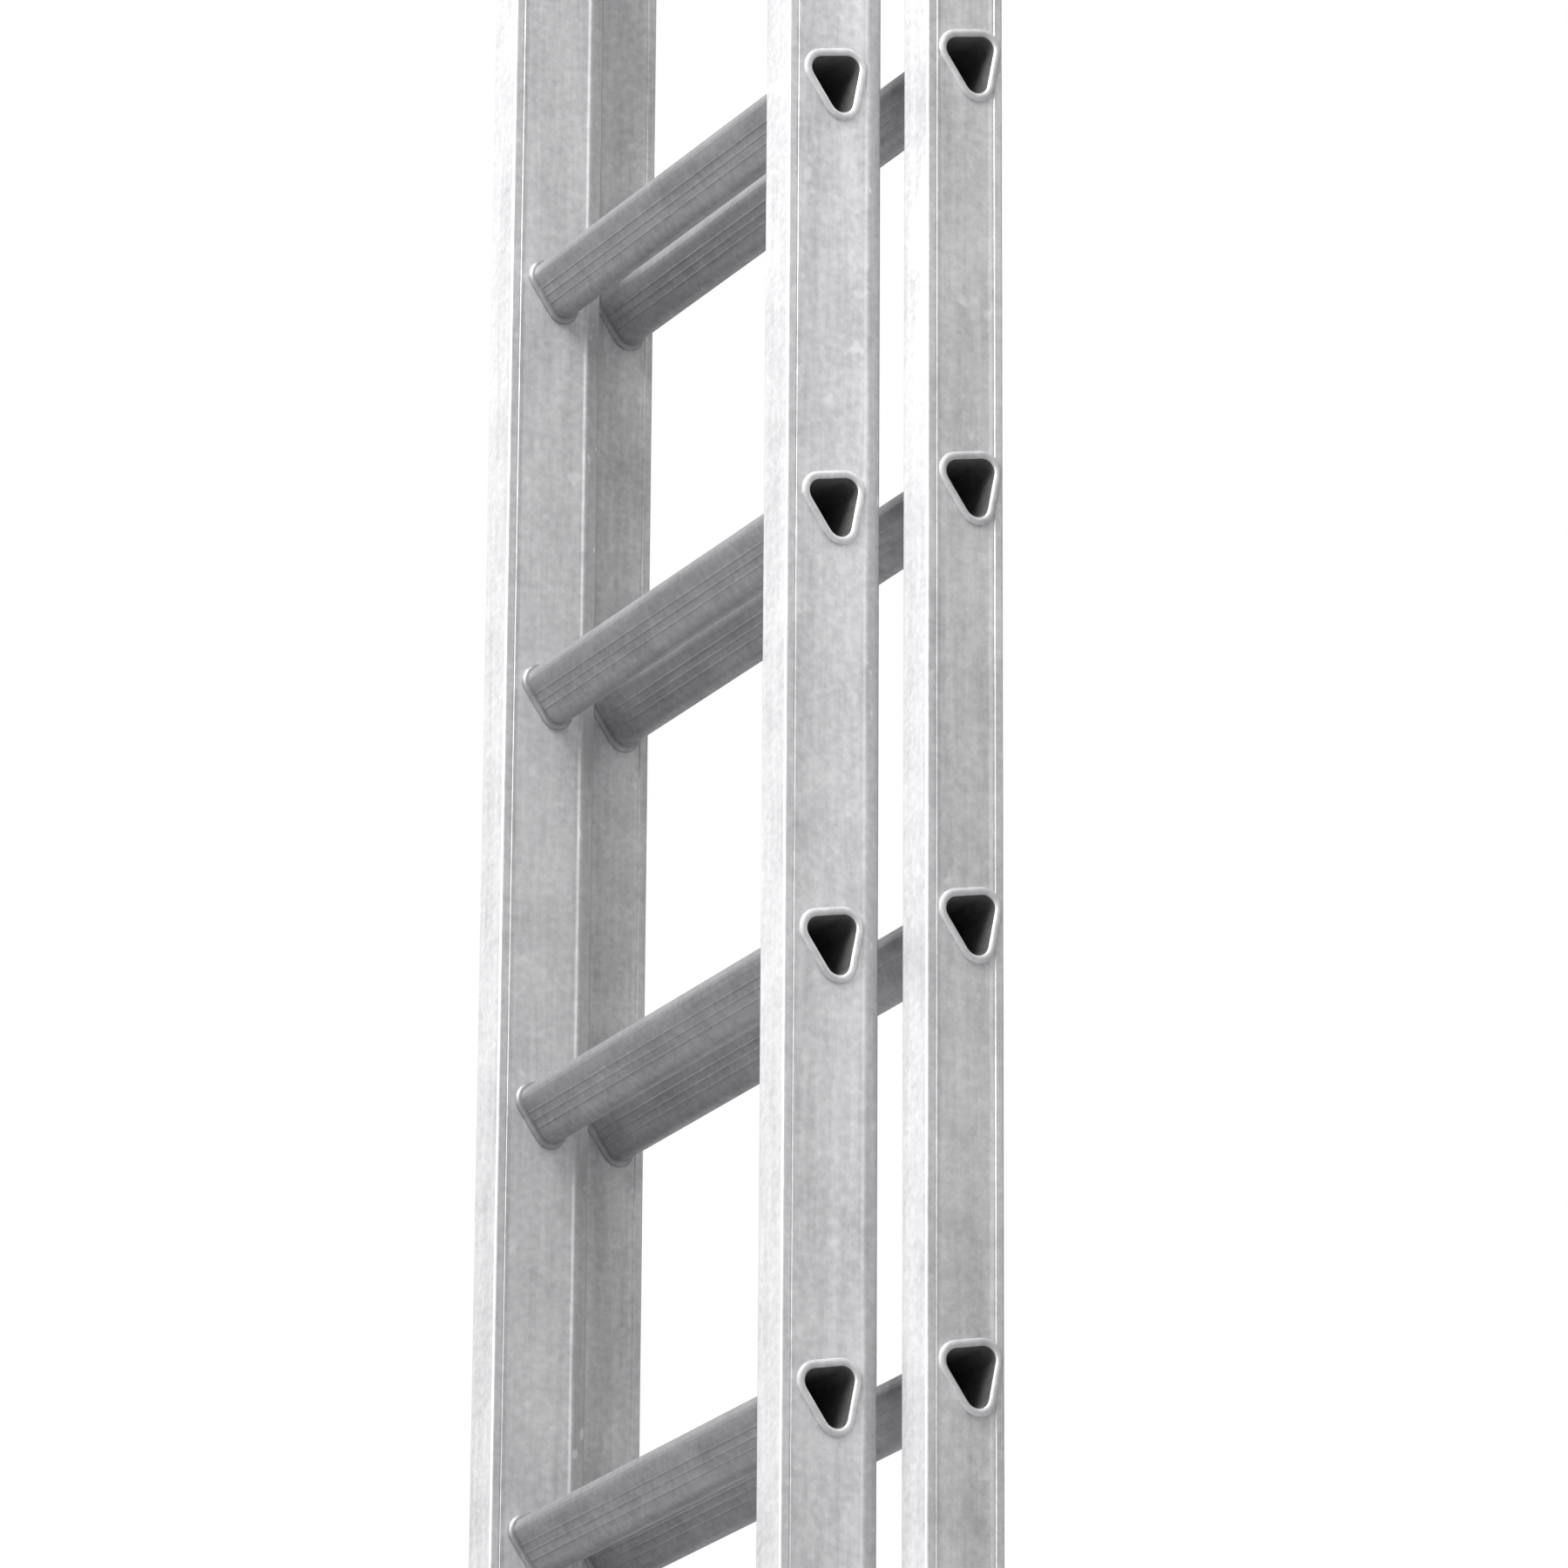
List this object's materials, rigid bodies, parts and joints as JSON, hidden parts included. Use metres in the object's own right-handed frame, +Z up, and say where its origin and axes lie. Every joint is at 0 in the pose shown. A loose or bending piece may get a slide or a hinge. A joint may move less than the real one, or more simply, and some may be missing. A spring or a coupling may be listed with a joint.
{
  "type": "extension ladder",
  "caption": "Two-section push-up extension ladder with box stiles, through rungs with swaged ends, guide straps and swinging hooks.",
  "frame": {"origin": "on the floor, under the middle of the closed ladder's outline", "axes": "+Z up along the stiles, +X to the right along the rungs as the climber faces the ladder, +Y from the climber towards the wall"},
  "size_m": [0.502, 0.135, 3.3593],
  "materials": {
    "stile_aluminium": "mill-finish extrusion, slightly mottled",
    "rung_aluminium": "mill-finish extrusion with lengthwise grip ribs",
    "strap_steel": "zinc-plated pressed strip",
    "hook_aluminium": "cut plate, satin",
    "fastener_steel": "zinc-plated",
    "shoe_rubber": "matt moulded",
    "cap_plastic": "fine moulded grain"
  },
  "bodies": {
    "base": {"base_stile_left": "stile_aluminium", "base_stile_right": "stile_aluminium", "base_rung_01": "rung_aluminium", "base_rung_02": "rung_aluminium", "base_rung_03": "rung_aluminium", "base_rung_04": "rung_aluminium", "base_rung_05": "rung_aluminium", "base_rung_06": "rung_aluminium", "base_rung_07": "rung_aluminium", "base_rung_08": "rung_aluminium", "base_rung_09": "rung_aluminium", "base_rung_10": "rung_aluminium", "base_rung_11": "rung_aluminium", "base_rung_12": "rung_aluminium", "base_shoe_left": "shoe_rubber", "base_cap_left": "cap_plastic", "base_guide_left": "strap_steel", "base_guide_rivet_left_1": "fastener_steel", "base_guide_rivet_left_2": "fastener_steel", "base_shoe_rivet_left": "fastener_steel", "base_shoe_right": "shoe_rubber", "base_cap_right": "cap_plastic", "base_guide_right": "strap_steel", "base_guide_rivet_right_1": "fastener_steel", "base_guide_rivet_right_2": "fastener_steel", "base_shoe_rivet_right": "fastener_steel"},
    "fly": {"fly_stile_left": "stile_aluminium", "fly_stile_right": "stile_aluminium", "fly_rung_01": "rung_aluminium", "fly_rung_02": "rung_aluminium", "fly_rung_03": "rung_aluminium", "fly_rung_04": "rung_aluminium", "fly_rung_05": "rung_aluminium", "fly_rung_06": "rung_aluminium", "fly_rung_07": "rung_aluminium", "fly_rung_08": "rung_aluminium", "fly_rung_09": "rung_aluminium", "fly_rung_10": "rung_aluminium", "fly_rung_11": "rung_aluminium", "fly_rung_12": "rung_aluminium", "fly_shoe_left": "shoe_rubber", "fly_cap_left": "cap_plastic", "fly_guide_left": "strap_steel", "fly_guide_rivet_left_1": "fastener_steel", "fly_guide_rivet_left_2": "fastener_steel", "fly_shoe_rivet_left": "fastener_steel", "hook_bolt_left": "fastener_steel", "hook_stop_left": "fastener_steel", "fly_shoe_right": "shoe_rubber", "fly_cap_right": "cap_plastic", "fly_guide_right": "strap_steel", "fly_guide_rivet_right_1": "fastener_steel", "fly_guide_rivet_right_2": "fastener_steel", "fly_shoe_rivet_right": "fastener_steel", "hook_bolt_right": "fastener_steel", "hook_stop_right": "fastener_steel"},
    "hook_left": {"hook_left": "hook_aluminium"},
    "hook_right": {"hook_right": "hook_aluminium"}
  },
  "joints": [
    {"name": "fly_slide", "type": "slide", "parent": "base", "child": "fly", "axis": [0, 0, 1], "range_m": [0, 2.52]},
    {"name": "hook_left_swing", "type": "hinge", "parent": "fly", "child": "hook_left", "pos_m": [-0.1687, -0.02, 0.2235], "axis": [1, 0, 0], "range_deg": [-142, 0]},
    {"name": "hook_right_swing", "type": "hinge", "parent": "fly", "child": "hook_right", "pos_m": [0.1687, -0.02, 0.2235], "axis": [1, 0, 0], "range_deg": [-142, 0]}
  ]
}
